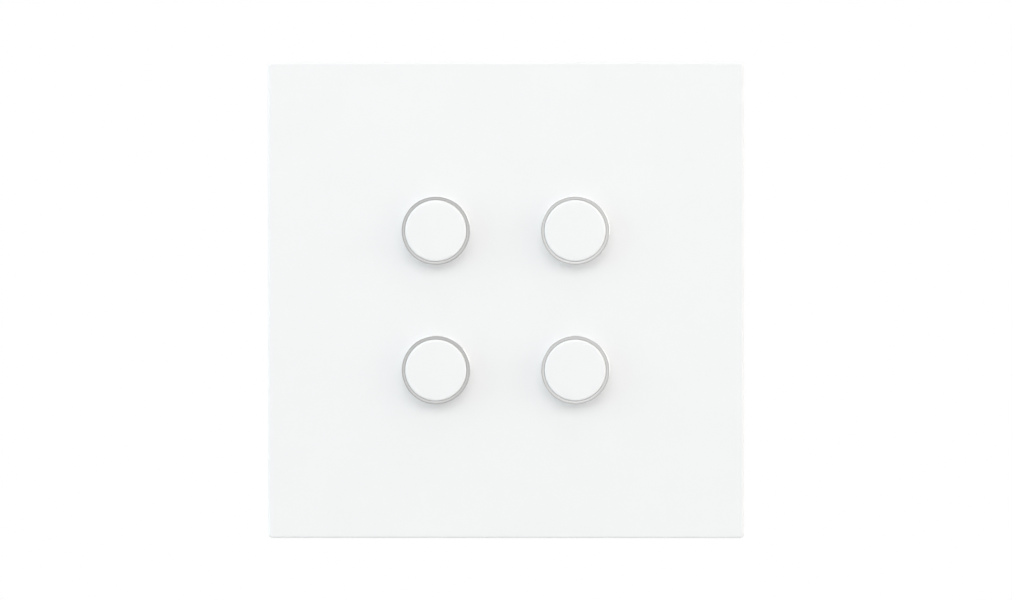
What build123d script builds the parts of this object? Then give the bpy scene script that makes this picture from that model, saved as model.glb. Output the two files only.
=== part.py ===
from build123d import *
from math import cos, radians, sin
import os

# Four-button smart switch panel for a square one-gang wall box.
# The wall is the XZ plane through the origin, +Z is up, and the panel faces -Y.
# A "height" below is a distance in front of the wall, and a "depth" a distance behind it.
# All sizes are in millimetres.

# Face plate: a moulded tray whose rim stands on the wall
PLATE_SIDE = 86.0
PLATE_HEIGHT = 10.0
PLATE_CORNER = 0.8
PLATE_EDGE = 0.4
PLATE_FRONT_WALL = 2.0
PLATE_SIDE_WALL = 2.0
PLATE_RIB_GAP = 3.0
PLATE_RIB_THICKNESS = 1.0
PLATE_RIB_HEIGHT = 1.5
PRY_NOTCH_WIDTH = 10.0
PRY_NOTCH_HEIGHT = 1.4

# Buttons: a square of four, each a white cap sliding in a metal bezel
BUTTON_PITCH = 25.15
BUTTON_TRAVEL = 0.8
BEZEL_DIAMETER = 12.3
BEZEL_RIM = 0.55
BEZEL_PROUD = 2.2
BEZEL_EDGE = 0.14
BEZEL_FLANGE_WIDTH = 1.3
BEZEL_FLANGE_THICKNESS = 0.8
BEZEL_FLANGE_CLEARANCE = 0.1
BEZEL_SEAT_CLEARANCE = 0.05
CAP_PROUD = 0.4
CAP_EDGE = 0.35
CAP_POCKET = 6.6
CAP_FRONT_WALL = 1.4
CAP_GUIDE_CLEARANCE = 0.05
CAP_FLANGE_WIDTH = 1.05
CAP_FLANGE_THICKNESS = 0.8
CAP_FLANGE_CLEARANCE = 0.15
CAP_STEM_SIDE = 3.4
CAP_STEM_WALL = 1.2

# Tact switch under each cap
SWITCH_SIDE = 6.0
SWITCH_BODY_HEIGHT = 2.8
SWITCH_FLOOR = 1.0
SWITCH_OVERTRAVEL = 0.1
SWITCH_PLUNGER_SIDE = 3.4
SWITCH_PLUNGER_CLEARANCE = 0.15
SWITCH_LEG_REACH = 1.0
SWITCH_LEG_WIDTH = 0.7
SWITCH_LEG_SPACING = 4.5
SWITCH_LEG_THICKNESS = 0.2

# Button carrier: the inner frame that backs the bezels and carries the control board
CARRIER_BORDER = 4.0
CARRIER_CORNER = 2.0
CARRIER_THICKNESS = 2.0
CARRIER_WINDOW = 10.0
CARRIER_POST = 3.5
CARRIER_HOOK_WIDTH = 6.0
CARRIER_HOOK_BEAM = 1.2
CARRIER_HOOK_REACH = 0.7
CARRIER_HOOK_NOSE = 1.0
CARRIER_HOOK_CLEARANCE = 0.15
CARRIER_HOOK_PLAY = 0.05

# Control board, the carrier's hooks that hold it and what is soldered to it
BOARD_THICKNESS = 1.2
BOARD_HOOK_OFFSET = 14.0
BOARD_HOOK_WIDTH = 5.0
BOARD_HOOK_BEAM = 1.0
BOARD_HOOK_REACH = 0.6
BOARD_HOOK_NOSE = 0.8
BOARD_HOOK_CLEARANCE = 0.15
BOARD_HOOK_PLAY = 0.05
LED_LENGTH = 2.0
LED_WIDTH = 1.25
LED_HEIGHT = 0.7
LED_DROP = 5.2
RADIO_WIDTH = 14.0
RADIO_HEIGHT = 17.0
RADIO_BOARD_THICKNESS = 0.8
RADIO_SHIELD_WIDTH = 12.0
RADIO_SHIELD_HEIGHT = 10.5
RADIO_SHIELD_DROP = 2.4
RADIO_SHIELD_GAP = 0.2

# Board-to-board connector
CONNECTOR_COLUMNS = 5
CONNECTOR_ROWS = 2
CONNECTOR_PITCH = 2.54
CONNECTOR_BORDER = 0.2
HEADER_BASE_HEIGHT = 2.5
HEADER_PIN = 0.64
HEADER_PIN_LENGTH = 4.0
HEADER_PIN_CLEARANCE = 0.15

# Mounting yoke: folded sheet steel, screwed to the wall box
YOKE_WIDTH = 72.0
YOKE_CORNER = 3.0
YOKE_THICKNESS = 1.2
YOKE_FLANGE_GAP = 0.4
YOKE_FLANGE_LENGTH = 44.0
YOKE_FLANGE_HEIGHT = 6.0
YOKE_WINDOW_CLEARANCE = 0.5
YOKE_TAB_WIDTH = 20.0
YOKE_TAB_LENGTH = 8.0
YOKE_TAB_GAP = 0.2
BOX_SCREW_SPACING = 60.3
BOX_SLOT_WIDTH = 3.8
BOX_SLOT_LENGTH = 5.6

# Snap noses of the plate, caught in windows of the yoke's flanges
SNAP_OFFSET = 12.0
SNAP_WIDTH = 7.0
SNAP_REACH = 1.2
SNAP_LEVEL = 2.7
SNAP_HEIGHT = 1.7
SNAP_LAND = 0.5
SNAP_CLEARANCE = 0.25

# Rear housing: a moulded box in the wall, clipped between the yoke's two tabs
HOUSING_WIDTH = 50.0
HOUSING_TALL = 52.0
HOUSING_DEPTH = 25.0
HOUSING_WALL = 1.8
HOUSING_CORNER = 3.0
HOUSING_EDGE = 1.5
CLIP_WIDTH = 12.0
CLIP_REACH = 0.9
CLIP_LEVEL = 4.6
CLIP_HEIGHT = 1.7
CLIP_LAND = 0.6
CLIP_CLEARANCE = 0.25
VENT_COUNT = 4
VENT_PITCH = 3.6
VENT_WIDTH = 1.4
VENT_LENGTH = 9.0
BACK_PANEL_WIDTH = 34.0
BACK_PANEL_TALL = 24.0
BACK_PANEL_RISE = 5.0
BACK_PANEL_SINK = 0.3

# Housing lid and the power board under it
LID_DEPTH = 2.0
LID_THICKNESS = 1.5
LID_LEDGE = 0.8
LID_CLEARANCE = 0.15
LID_FOOT = 3.0
LID_SLOT_CLEARANCE = 0.4
POWER_BOARD_DEPTH = 6.0
POWER_BOARD_THICKNESS = 1.6
POWER_BOARD_CLEARANCE = 0.3
POWER_POST = 3.5

# Parts on the power board
RELAY_COUNT = 4
RELAY_PITCH = 8.2
RELAY_WIDTH = 7.2
RELAY_TOP_GAP = 1.0
RELAY_BACK_GAP = 0.3
SUPPLY_LENGTH = 11.0
SUPPLY_BACK_GAP = 2.6
SUPPLY_TERMINAL_GAP = 4.1
CAPACITOR_WIDTH = 6.0
CAPACITOR_LENGTH = 10.5
CAPACITOR_BACK_GAP = 4.1
FUSE_WIDTH = 4.0
FUSE_LENGTH = 8.5
FUSE_BACK_GAP = 7.6
PART_GAP = 1.2
ROW_END_GAP = 7.2
PART_EDGE = 0.4

# Terminal block: rising-clamp terminals, wires from below and screws from behind
TERMINAL_COUNT = 6
TERMINAL_PITCH = 5.08
TERMINAL_END_WALL = 0.7
TERMINAL_DEEP = 11.0
TERMINAL_RECESS = 0.6
TERMINAL_CLEARANCE = 0.25
TERMINAL_ENTRY_WIDTH = 3.8
TERMINAL_ENTRY_TALL = 4.4
TERMINAL_ENTRY_DEPTH = 7.5
TERMINAL_ENTRY_FLOOR = 4.5
TERMINAL_WELL = 4.0
TERMINAL_SCREW_CLEARANCE = 0.2
TERMINAL_SCREW_SINK = 2.0
TERMINAL_SLOT_WIDTH = 0.7
TERMINAL_SLOT_DEPTH = 0.8
CLAMP_WALL = 0.5
CLAMP_LENGTH = 5.0
CLAMP_CLEARANCE = 0.1

# Levels of the front unit, as heights in front of the wall
plate_inside = PLATE_HEIGHT - PLATE_FRONT_WALL
bezel_back = plate_inside - BEZEL_FLANGE_THICKNESS
bezel_front = PLATE_HEIGHT + BEZEL_PROUD
cap_front = bezel_front + CAP_PROUD
cap_back = bezel_back - CAP_FLANGE_THICKNESS
carrier_back = bezel_back - CARRIER_THICKNESS
switch_plunger_proud = BUTTON_TRAVEL + SWITCH_OVERTRAVEL
switch_top = cap_back - switch_plunger_proud
board_front = switch_top - SWITCH_BODY_HEIGHT
board_back = board_front - BOARD_THICKNESS
shield_thickness = carrier_back - RADIO_SHIELD_GAP - board_front - RADIO_BOARD_THICKNESS

# Radii and sides of the front unit
plate_cavity = PLATE_SIDE - 2 * PLATE_SIDE_WALL
bezel_radius = BEZEL_DIAMETER / 2
bezel_bore_radius = bezel_radius - BEZEL_RIM
bezel_flange_side = BEZEL_DIAMETER + 2 * BEZEL_FLANGE_WIDTH
cap_radius = bezel_bore_radius - CAP_GUIDE_CLEARANCE
cap_flange_side = 2 * (cap_radius + CAP_FLANGE_WIDTH)
carrier_guide = cap_flange_side + 2 * CAP_FLANGE_CLEARANCE
carrier_side = BUTTON_PITCH + bezel_flange_side + 2 * CARRIER_BORDER
board_side = carrier_side - 2 * (BOARD_HOOK_BEAM + BOARD_HOOK_CLEARANCE)

# Levels behind the wall, as depths
lid_back = LID_DEPTH + LID_THICKNESS
power_board_back = POWER_BOARD_DEPTH + POWER_BOARD_THICKNESS
housing_floor = HOUSING_DEPTH - HOUSING_WALL
terminal_back = HOUSING_DEPTH - TERMINAL_RECESS
header_top = POWER_BOARD_DEPTH - HEADER_BASE_HEIGHT

# Sides and places behind the wall
lid_pocket_width = HOUSING_WIDTH - 2 * HOUSING_WALL
lid_pocket_tall = HOUSING_TALL - 2 * HOUSING_WALL
cavity_width = lid_pocket_width - 2 * LID_LEDGE
cavity_tall = lid_pocket_tall - 2 * LID_LEDGE
connector_width = CONNECTOR_COLUMNS * CONNECTOR_PITCH + 2 * CONNECTOR_BORDER
connector_tall = CONNECTOR_ROWS * CONNECTOR_PITCH + 2 * CONNECTOR_BORDER
yoke_window = carrier_side + 2 * YOKE_WINDOW_CLEARANCE
yoke_tall = plate_cavity - 2 * YOKE_FLANGE_GAP
yoke_tab_inside = HOUSING_TALL / 2 + YOKE_TAB_GAP
terminal_width = TERMINAL_COUNT * TERMINAL_PITCH + 2 * TERMINAL_END_WALL
terminal_bottom = TERMINAL_RECESS - HOUSING_TALL / 2
terminal_top = terminal_bottom + TERMINAL_DEEP
terminal_entry_back = power_board_back + TERMINAL_ENTRY_FLOOR + TERMINAL_ENTRY_TALL
terminal_entry_middle = terminal_entry_back - TERMINAL_ENTRY_TALL / 2
terminal_screw_diameter = TERMINAL_WELL - 2 * TERMINAL_SCREW_CLEARANCE
terminal_screw_rise = terminal_bottom + TERMINAL_ENTRY_DEPTH / 2
terminal_screw_back = terminal_back - TERMINAL_SCREW_SINK
clamp_back = terminal_entry_back - CLAMP_CLEARANCE
supply_top = terminal_top + SUPPLY_TERMINAL_GAP + SUPPLY_LENGTH
supply_left = -cavity_width / 2 + PART_GAP
supply_width = cavity_width - CAPACITOR_WIDTH - FUSE_WIDTH - 3 * PART_GAP - ROW_END_GAP
part_row = supply_top - SUPPLY_LENGTH / 2
part_room = housing_floor - power_board_back
relay_top = cavity_tall / 2 - RELAY_TOP_GAP
relay_bottom = supply_top + PART_GAP

BUTTONS = {
    "upper_left": (-BUTTON_PITCH / 2, BUTTON_PITCH / 2),
    "upper_right": (BUTTON_PITCH / 2, BUTTON_PITCH / 2),
    "lower_left": (-BUTTON_PITCH / 2, -BUTTON_PITCH / 2),
    "lower_right": (BUTTON_PITCH / 2, -BUTTON_PITCH / 2),
}


def wall_plane(height):
    """Plane parallel to the wall at that height in front of it: local x is +X, local y is +Z."""
    return Plane.XZ.offset(height)


def profile_plane(angle):
    """Plane through the panel's axis: local x runs outward at that angle, local y towards the room."""
    outward = (cos(radians(angle)), 0, sin(radians(angle)))
    sideways = (sin(radians(angle)), 0, -cos(radians(angle)))
    return Plane(origin=(0, 0, 0), x_dir=outward, z_dir=sideways)


def hook_points(inside, root, catch, beam, reach, nose):
    """Outline of a sprung hook: a beam from its root, ending in a nose that catches at one level."""
    return (
        (inside, root),
        (inside, catch),
        (inside - reach, catch),
        (inside, catch - nose),
        (inside + beam, catch - nose),
        (inside + beam, root),
    )


def save(part, name):
    """Labels a finished piece and writes it as one STEP file."""
    part.label = name
    export_step(part, f"parts/{name}.step")


os.makedirs("parts", exist_ok=True)

# Face plate
with BuildPart() as face_plate:
    with BuildSketch(wall_plane(0)):
        RectangleRounded(PLATE_SIDE, PLATE_SIDE, PLATE_CORNER)
    extrude(amount=PLATE_HEIGHT)
    fillet(face_plate.faces().sort_by(Axis.Y)[0].edges(), PLATE_EDGE)
    with BuildSketch(wall_plane(0)):
        Rectangle(plate_cavity, plate_cavity)
    extrude(amount=plate_inside, mode=Mode.SUBTRACT)
    # A stiffening rib runs round the button carrier
    rib_side = carrier_side + 2 * PLATE_RIB_GAP
    with BuildSketch(wall_plane(plate_inside)):
        Rectangle(rib_side + 2 * PLATE_RIB_THICKNESS, rib_side + 2 * PLATE_RIB_THICKNESS)
        Rectangle(rib_side, rib_side, mode=Mode.SUBTRACT)
    extrude(amount=-PLATE_RIB_HEIGHT)
    # Seats for the bezels
    with BuildSketch(wall_plane(plate_inside)):
        with Locations(*BUTTONS.values()):
            Circle(bezel_radius + BEZEL_SEAT_CLEARANCE)
    extrude(amount=PLATE_FRONT_WALL, mode=Mode.SUBTRACT)
    # Four sprung hooks hold the carrier, one at the middle of each side
    for angle in (0, 90, 180, 270):
        with BuildSketch(profile_plane(angle)):
            with BuildLine():
                outline = hook_points(
                    carrier_side / 2 + CARRIER_HOOK_CLEARANCE,
                    plate_inside,
                    carrier_back - CARRIER_HOOK_PLAY,
                    CARRIER_HOOK_BEAM,
                    CARRIER_HOOK_REACH,
                    CARRIER_HOOK_NOSE,
                )
                Polyline(*outline, close=True)
            make_face()
        extrude(amount=CARRIER_HOOK_WIDTH / 2, both=True)
    # Snap noses on the upper and lower walls click into the yoke
    nose_root = plate_cavity / 2
    for angle in (90, 270):
        for side in (-1, 1):
            with BuildSketch(profile_plane(angle).offset(side * SNAP_OFFSET)):
                with BuildLine():
                    Polyline(
                        (nose_root, SNAP_LEVEL),
                        (nose_root, SNAP_LEVEL + SNAP_HEIGHT),
                        (nose_root - SNAP_REACH, SNAP_LEVEL + SNAP_HEIGHT),
                        (nose_root - SNAP_REACH, SNAP_LEVEL + SNAP_HEIGHT - SNAP_LAND),
                        close=True,
                    )
                make_face()
            extrude(amount=SNAP_WIDTH / 2, both=True)
    # Notch in the lower rim, where a blade levers the plate off
    with BuildSketch(wall_plane(0)):
        with Locations((0, -PLATE_SIDE / 2)):
            Rectangle(PRY_NOTCH_WIDTH, 2 * PLATE_SIDE_WALL)
    extrude(amount=PRY_NOTCH_HEIGHT, mode=Mode.SUBTRACT)
save(face_plate.part, "face_plate")

# Bezels: metal rings, each with a square flange behind the plate
for corner, centre in BUTTONS.items():
    with BuildPart() as bezel:
        with BuildSketch(wall_plane(bezel_back)):
            with Locations(centre):
                Rectangle(bezel_flange_side, bezel_flange_side)
        extrude(amount=BEZEL_FLANGE_THICKNESS)
        with BuildSketch(wall_plane(plate_inside)):
            with Locations(centre):
                Circle(bezel_radius)
        extrude(amount=PLATE_FRONT_WALL + BEZEL_PROUD)
        with BuildSketch(wall_plane(bezel_back)):
            with Locations(centre):
                Circle(bezel_bore_radius)
        extrude(amount=bezel_front - bezel_back, mode=Mode.SUBTRACT)
        rim_edges = bezel.faces().sort_by(Axis.Y)[0].edges().sort_by(SortBy.LENGTH)
        chamfer(rim_edges[-1], BEZEL_EDGE)
    save(bezel.part, f"bezel_{corner}")

# Button caps: hollow mouldings with a square stop flange and a cross-shaped stem
for corner, centre in BUTTONS.items():
    with BuildPart() as cap:
        with BuildSketch(wall_plane(cap_back)):
            with Locations(centre):
                Rectangle(cap_flange_side, cap_flange_side)
        extrude(amount=CAP_FLANGE_THICKNESS)
        with BuildSketch(wall_plane(bezel_back)):
            with Locations(centre):
                Circle(cap_radius)
        extrude(amount=cap_front - bezel_back)
        chamfer(cap.faces().sort_by(Axis.Y)[0].edges(), CAP_EDGE)
        with BuildSketch(wall_plane(cap_back)):
            with Locations(centre):
                Rectangle(CAP_POCKET, CAP_POCKET)
                Rectangle(CAP_STEM_SIDE, CAP_STEM_WALL, mode=Mode.SUBTRACT)
                Rectangle(CAP_STEM_WALL, CAP_STEM_SIDE, mode=Mode.SUBTRACT)
        extrude(amount=cap_front - CAP_FRONT_WALL - cap_back, mode=Mode.SUBTRACT)
    save(cap.part, f"button_cap_{corner}")

# Button carrier: pockets for the bezel flanges, guides for the cap flanges, posts and hooks for the board
with BuildPart() as button_carrier:
    with BuildSketch(wall_plane(carrier_back)):
        Rectangle(carrier_side, carrier_side)
    extrude(amount=plate_inside - carrier_back)
    chamfer(button_carrier.edges().filter_by(Axis.Y), CARRIER_CORNER)
    with BuildSketch(wall_plane(carrier_back)):
        Rectangle(CARRIER_WINDOW, CARRIER_WINDOW)
        with Locations(*BUTTONS.values()):
            Rectangle(carrier_guide, carrier_guide)
    extrude(amount=plate_inside - carrier_back, mode=Mode.SUBTRACT)
    bezel_pocket = bezel_flange_side + 2 * BEZEL_FLANGE_CLEARANCE
    with BuildSketch(wall_plane(bezel_back)):
        with Locations(*BUTTONS.values()):
            Rectangle(bezel_pocket, bezel_pocket)
    extrude(amount=BEZEL_FLANGE_THICKNESS, mode=Mode.SUBTRACT)
    post_spacing = board_side - CARRIER_POST
    with BuildSketch(wall_plane(board_front)):
        with GridLocations(post_spacing, post_spacing, 2, 2):
            Rectangle(CARRIER_POST, CARRIER_POST)
    extrude(amount=carrier_back - board_front)
    for angle in (90, 270):
        for side in (-1, 1):
            with BuildSketch(profile_plane(angle).offset(side * BOARD_HOOK_OFFSET)):
                with BuildLine():
                    outline = hook_points(
                        board_side / 2 + BOARD_HOOK_CLEARANCE,
                        carrier_back,
                        board_back - BOARD_HOOK_PLAY,
                        BOARD_HOOK_BEAM,
                        BOARD_HOOK_REACH,
                        BOARD_HOOK_NOSE,
                    )
                    Polyline(*outline, close=True)
                make_face()
            extrude(amount=BOARD_HOOK_WIDTH / 2, both=True)
save(button_carrier.part, "button_carrier")

# Control board
with BuildPart() as control_board:
    with BuildSketch(wall_plane(board_back)):
        Rectangle(board_side, board_side)
    extrude(amount=BOARD_THICKNESS)
save(control_board.part, "control_board")

# Tact switches, and their plungers, which move with the caps
plunger_length = SWITCH_BODY_HEIGHT - SWITCH_FLOOR
switch_well = SWITCH_PLUNGER_SIDE + 2 * SWITCH_PLUNGER_CLEARANCE
for corner, centre in BUTTONS.items():
    with BuildPart() as switch:
        with BuildSketch(wall_plane(board_front)):
            with Locations(centre):
                Rectangle(SWITCH_SIDE, SWITCH_SIDE)
        extrude(amount=SWITCH_BODY_HEIGHT)
        with BuildSketch(wall_plane(board_front)):
            with Locations(centre):
                with GridLocations(0, SWITCH_LEG_SPACING, 1, 2):
                    Rectangle(SWITCH_SIDE + 2 * SWITCH_LEG_REACH, SWITCH_LEG_WIDTH)
        extrude(amount=SWITCH_LEG_THICKNESS)
        with BuildSketch(wall_plane(board_front + SWITCH_FLOOR)):
            with Locations(centre):
                Rectangle(switch_well, switch_well)
        extrude(amount=SWITCH_BODY_HEIGHT - SWITCH_FLOOR, mode=Mode.SUBTRACT)
    save(switch.part, f"tact_switch_{corner}")

    with BuildPart() as plunger:
        with BuildSketch(wall_plane(cap_back)):
            with Locations(centre):
                Rectangle(SWITCH_PLUNGER_SIDE, SWITCH_PLUNGER_SIDE)
        extrude(amount=-plunger_length)
    save(plunger.part, f"switch_plunger_{corner}")

# Status lights, one below each switch
with BuildPart() as status_leds:
    with BuildSketch(wall_plane(board_front)):
        with Locations(*[(x, z - LED_DROP) for x, z in BUTTONS.values()]):
            Rectangle(LED_LENGTH, LED_WIDTH)
    extrude(amount=LED_HEIGHT)
save(status_leds.part, "status_leds")

# Radio module: its own small board, with a pressed shield over its lower part
with BuildPart() as radio_board:
    with BuildSketch(wall_plane(board_front)):
        Rectangle(RADIO_WIDTH, RADIO_HEIGHT)
    extrude(amount=RADIO_BOARD_THICKNESS)
save(radio_board.part, "radio_board")

with BuildPart() as radio_shield:
    with BuildSketch(wall_plane(board_front + RADIO_BOARD_THICKNESS)):
        with Locations((0, -RADIO_SHIELD_DROP)):
            Rectangle(RADIO_SHIELD_WIDTH, RADIO_SHIELD_HEIGHT)
    extrude(amount=shield_thickness)
    chamfer(radio_shield.faces().sort_by(Axis.Y)[0].edges(), PART_EDGE)
save(radio_shield.part, "radio_shield")

# Connector between the boards: a pin header on the power board, a socket on the control board
with BuildPart() as board_header:
    with BuildSketch(wall_plane(-POWER_BOARD_DEPTH)):
        Rectangle(connector_width, connector_tall)
    extrude(amount=HEADER_BASE_HEIGHT)
    with BuildSketch(wall_plane(-header_top)):
        with GridLocations(CONNECTOR_PITCH, CONNECTOR_PITCH, CONNECTOR_COLUMNS, CONNECTOR_ROWS):
            Rectangle(HEADER_PIN, HEADER_PIN)
    extrude(amount=HEADER_PIN_LENGTH)
save(board_header.part, "board_header")

with BuildPart() as board_socket:
    with BuildSketch(wall_plane(-header_top)):
        Rectangle(connector_width, connector_tall)
    extrude(amount=header_top + board_back)
    socket_hole = HEADER_PIN + 2 * HEADER_PIN_CLEARANCE
    with BuildSketch(wall_plane(-header_top)):
        with GridLocations(CONNECTOR_PITCH, CONNECTOR_PITCH, CONNECTOR_COLUMNS, CONNECTOR_ROWS):
            Rectangle(socket_hole, socket_hole)
    extrude(amount=HEADER_PIN_LENGTH + HEADER_PIN_CLEARANCE, mode=Mode.SUBTRACT)
save(board_socket.part, "board_socket")

# Mounting yoke
with BuildPart() as mounting_yoke:
    with BuildSketch(wall_plane(0)) as yoke_blank:
        Rectangle(YOKE_WIDTH, yoke_tall)
        chamfer(yoke_blank.vertices(), YOKE_CORNER)
        Rectangle(yoke_window, yoke_window, mode=Mode.SUBTRACT)
        with GridLocations(BOX_SCREW_SPACING, 0, 2, 1):
            SlotOverall(BOX_SLOT_LENGTH, BOX_SLOT_WIDTH, mode=Mode.SUBTRACT)
    extrude(amount=YOKE_THICKNESS)
    # The upper and lower edges are folded forward, with windows that catch the plate's noses
    with BuildSketch(wall_plane(0)):
        with GridLocations(0, yoke_tall - YOKE_THICKNESS, 1, 2):
            Rectangle(YOKE_FLANGE_LENGTH, YOKE_THICKNESS)
    extrude(amount=YOKE_FLANGE_HEIGHT)
    with BuildSketch(Plane.XY):
        with Locations((0, -SNAP_LEVEL - SNAP_HEIGHT / 2)):
            with GridLocations(2 * SNAP_OFFSET, 0, 2, 1):
                Rectangle(SNAP_WIDTH + 2 * SNAP_CLEARANCE, SNAP_HEIGHT + 2 * SNAP_CLEARANCE)
    extrude(amount=yoke_tall, both=True, mode=Mode.SUBTRACT)
    # A tab is lanced out above and below the window and folded back, to grip the housing
    tab_cut = yoke_tab_inside + YOKE_THICKNESS + YOKE_TAB_LENGTH / 2
    with BuildSketch(wall_plane(0)):
        with GridLocations(0, 2 * tab_cut, 1, 2):
            Rectangle(YOKE_TAB_WIDTH, YOKE_TAB_LENGTH)
    extrude(amount=YOKE_THICKNESS, mode=Mode.SUBTRACT)
    with BuildSketch(wall_plane(0)):
        with GridLocations(0, 2 * yoke_tab_inside + YOKE_THICKNESS, 1, 2):
            Rectangle(YOKE_TAB_WIDTH, YOKE_THICKNESS)
    extrude(amount=-YOKE_TAB_LENGTH)
    with BuildSketch(Plane.XY):
        with Locations((0, CLIP_LEVEL - CLIP_HEIGHT / 2)):
            Rectangle(CLIP_WIDTH + 2 * CLIP_CLEARANCE, CLIP_HEIGHT + 2 * CLIP_CLEARANCE)
    extrude(amount=yoke_tall, both=True, mode=Mode.SUBTRACT)
save(mounting_yoke.part, "mounting_yoke")

# Rear housing
with BuildPart() as rear_housing:
    with BuildSketch(wall_plane(0)):
        RectangleRounded(HOUSING_WIDTH, HOUSING_TALL, HOUSING_CORNER)
    extrude(amount=-HOUSING_DEPTH)
    chamfer(rear_housing.faces().sort_by(Axis.Y)[-1].edges(), HOUSING_EDGE)
    # The mouth takes the lid, which rests on a ledge round the cavity
    with BuildSketch(wall_plane(0)):
        Rectangle(lid_pocket_width, lid_pocket_tall)
    extrude(amount=-lid_back, mode=Mode.SUBTRACT)
    with BuildSketch(wall_plane(-lid_back)):
        Rectangle(cavity_width, cavity_tall)
    extrude(amount=lid_back - housing_floor, mode=Mode.SUBTRACT)
    # Corner posts carry the power board
    with BuildSketch(wall_plane(-housing_floor)):
        with GridLocations(cavity_width - POWER_POST, cavity_tall - POWER_POST, 2, 2):
            Rectangle(POWER_POST, POWER_POST)
    extrude(amount=housing_floor - power_board_back)
    # A clip on the upper and lower walls clicks into the yoke's tabs
    clip_root = HOUSING_TALL / 2
    for angle in (90, 270):
        with BuildSketch(profile_plane(angle)):
            with BuildLine():
                Polyline(
                    (clip_root, -CLIP_LEVEL),
                    (clip_root + CLIP_REACH, -CLIP_LEVEL),
                    (clip_root + CLIP_REACH, CLIP_LAND - CLIP_LEVEL),
                    (clip_root, CLIP_HEIGHT - CLIP_LEVEL),
                    close=True,
                )
            make_face()
        extrude(amount=CLIP_WIDTH / 2, both=True)
    # Window at the lower rear edge, filled by the terminal block
    window_top = terminal_top + TERMINAL_CLEARANCE
    window_bottom = -HOUSING_TALL / 2
    with BuildSketch(wall_plane(-HOUSING_DEPTH)):
        with Locations((0, (window_top + window_bottom) / 2)):
            Rectangle(terminal_width + 2 * TERMINAL_CLEARANCE, window_top - window_bottom)
    extrude(amount=HOUSING_DEPTH - power_board_back + TERMINAL_CLEARANCE, mode=Mode.SUBTRACT)
    # Shallow panel sunk into the back, above the terminals
    with BuildSketch(wall_plane(-HOUSING_DEPTH)):
        with Locations((0, BACK_PANEL_RISE)):
            Rectangle(BACK_PANEL_WIDTH, BACK_PANEL_TALL)
    extrude(amount=BACK_PANEL_SINK, mode=Mode.SUBTRACT)
    # Vents through both side walls
    with BuildSketch(Plane.YZ):
        with Locations((housing_floor - VENT_LENGTH, HOUSING_TALL / 4)):
            with GridLocations(0, VENT_PITCH, 1, VENT_COUNT):
                Rectangle(VENT_LENGTH, VENT_WIDTH)
    extrude(amount=HOUSING_WIDTH, both=True, mode=Mode.SUBTRACT)
save(rear_housing.part, "rear_housing")

# Housing lid, with feet that press the power board onto its posts
with BuildPart() as housing_lid:
    lid_width = lid_pocket_width - 2 * LID_CLEARANCE
    lid_tall = lid_pocket_tall - 2 * LID_CLEARANCE
    with BuildSketch(wall_plane(-lid_back)):
        Rectangle(lid_width, lid_tall)
        Rectangle(
            connector_width + 2 * LID_SLOT_CLEARANCE,
            connector_tall + 2 * LID_SLOT_CLEARANCE,
            mode=Mode.SUBTRACT,
        )
    extrude(amount=LID_THICKNESS)
    foot_inset = LID_FOOT + 2 * POWER_BOARD_CLEARANCE
    with BuildSketch(wall_plane(-lid_back)):
        with GridLocations(cavity_width - foot_inset, cavity_tall - foot_inset, 2, 2):
            Rectangle(LID_FOOT, LID_FOOT)
    extrude(amount=lid_back - POWER_BOARD_DEPTH)
save(housing_lid.part, "housing_lid")

# Power board
with BuildPart() as power_board:
    with BuildSketch(wall_plane(-power_board_back)):
        Rectangle(cavity_width - 2 * POWER_BOARD_CLEARANCE, cavity_tall - 2 * POWER_BOARD_CLEARANCE)
    extrude(amount=POWER_BOARD_THICKNESS)
save(power_board.part, "power_board")

# Relays, one for each button
for number in range(RELAY_COUNT):
    relay_x = (number - (RELAY_COUNT - 1) / 2) * RELAY_PITCH
    with BuildPart() as relay:
        with BuildSketch(wall_plane(-power_board_back)):
            with Locations((relay_x, (relay_top + relay_bottom) / 2)):
                Rectangle(RELAY_WIDTH, relay_top - relay_bottom)
        extrude(amount=RELAY_BACK_GAP - part_room)
        chamfer(relay.faces().sort_by(Axis.Y)[-1].edges(), PART_EDGE)
    save(relay.part, f"relay_{number + 1}")

# Mains supply, noise capacitor and fuse, in a row below the relays
with BuildPart() as supply_module:
    with BuildSketch(wall_plane(-power_board_back)):
        with Locations((supply_left + supply_width / 2, part_row)):
            Rectangle(supply_width, SUPPLY_LENGTH)
    extrude(amount=SUPPLY_BACK_GAP - part_room)
    chamfer(supply_module.faces().sort_by(Axis.Y)[-1].edges(), PART_EDGE)
save(supply_module.part, "supply_module")

capacitor_x = supply_left + supply_width + PART_GAP + CAPACITOR_WIDTH / 2
with BuildPart() as noise_capacitor:
    with BuildSketch(wall_plane(-power_board_back)):
        with Locations((capacitor_x, part_row)):
            Rectangle(CAPACITOR_WIDTH, CAPACITOR_LENGTH)
    extrude(amount=CAPACITOR_BACK_GAP - part_room)
    chamfer(noise_capacitor.faces().sort_by(Axis.Y)[-1].edges(), PART_EDGE)
save(noise_capacitor.part, "noise_capacitor")

fuse_x = capacitor_x + CAPACITOR_WIDTH / 2 + PART_GAP + FUSE_WIDTH / 2
with BuildPart() as fuse:
    with BuildSketch(wall_plane(-power_board_back)):
        with Locations((fuse_x, part_row)):
            Rectangle(FUSE_WIDTH, FUSE_LENGTH)
    extrude(amount=FUSE_BACK_GAP - part_room)
    chamfer(fuse.faces().sort_by(Axis.Y)[-1].edges(), PART_EDGE)
save(fuse.part, "fuse")

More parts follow.
